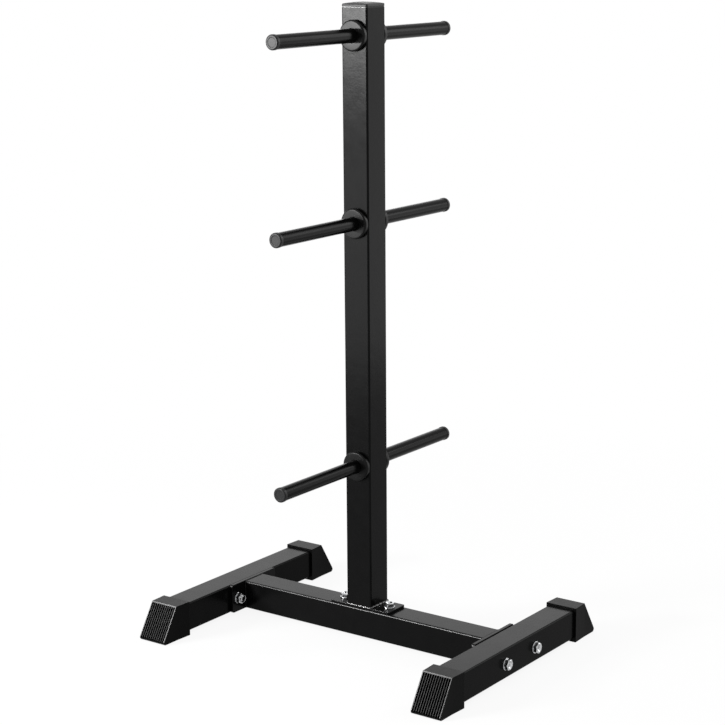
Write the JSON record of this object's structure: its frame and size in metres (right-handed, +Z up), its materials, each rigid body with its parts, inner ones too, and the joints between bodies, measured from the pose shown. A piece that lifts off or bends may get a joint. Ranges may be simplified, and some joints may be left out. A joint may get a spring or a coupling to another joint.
{
  "type": "plate tree",
  "caption": "Free-standing plate tree: a square mast on an H-shaped base on rubber feet, with round pegs to front and back that carry weight plates.",
  "frame": {"origin": "on the floor under the middle of the mast", "axes": "+X along the cross beam to the right, +Y to the rear along the feet and pegs, +Z up along the mast"},
  "size_m": [0.6248, 0.4746, 1.064],
  "materials": {
    "powder_coat": "black powder coat on steel, satin with a fine orange peel",
    "moulded_plastic": "black moulded plastic, satin",
    "foot_rubber": "black moulded rubber, matt",
    "bright_zinc": "bright zinc plating"
  },
  "bodies": {
    "root": {"mast_tube": "powder_coat", "mast_base_plate": "powder_coat", "mast_weld_bead": "powder_coat", "mast_top_cap": "moulded_plastic", "mast_bolt_washer_left": "bright_zinc", "mast_bolt_left": "bright_zinc", "mast_weld_nut_left": "bright_zinc", "mast_bolt_washer_right": "bright_zinc", "mast_bolt_right": "bright_zinc", "mast_weld_nut_right": "bright_zinc", "cross_beam": "powder_coat", "beam_end_plate_left": "powder_coat", "beam_weld_bead_left": "powder_coat", "beam_end_plate_right": "powder_coat", "beam_weld_bead_right": "powder_coat", "foot_tube_left": "powder_coat", "foot_cap_left_front": "foot_rubber", "foot_bolt_washer_left_front": "bright_zinc", "foot_bolt_left_front": "bright_zinc", "lock_nut_washer_left_front": "bright_zinc", "lock_nut_left_front": "bright_zinc", "foot_cap_left_rear": "foot_rubber", "foot_bolt_washer_left_rear": "bright_zinc", "foot_bolt_left_rear": "bright_zinc", "lock_nut_washer_left_rear": "bright_zinc", "lock_nut_left_rear": "bright_zinc", "foot_tube_right": "powder_coat", "foot_cap_right_front": "foot_rubber", "foot_bolt_washer_right_front": "bright_zinc", "foot_bolt_right_front": "bright_zinc", "lock_nut_washer_right_front": "bright_zinc", "lock_nut_right_front": "bright_zinc", "foot_cap_right_rear": "foot_rubber", "foot_bolt_washer_right_rear": "bright_zinc", "foot_bolt_right_rear": "bright_zinc", "lock_nut_washer_right_rear": "bright_zinc", "lock_nut_right_rear": "bright_zinc", "peg_tube_low": "powder_coat", "peg_collar_low_front": "powder_coat", "peg_end_cap_low_front": "moulded_plastic", "peg_collar_low_rear": "powder_coat", "peg_end_cap_low_rear": "moulded_plastic", "peg_tube_middle": "powder_coat", "peg_collar_middle_front": "powder_coat", "peg_end_cap_middle_front": "moulded_plastic", "peg_collar_middle_rear": "powder_coat", "peg_end_cap_middle_rear": "moulded_plastic", "peg_tube_top": "powder_coat", "peg_collar_top_front": "powder_coat", "peg_end_cap_top_front": "moulded_plastic", "peg_collar_top_rear": "powder_coat", "peg_end_cap_top_rear": "moulded_plastic"}
  },
  "joints": []
}
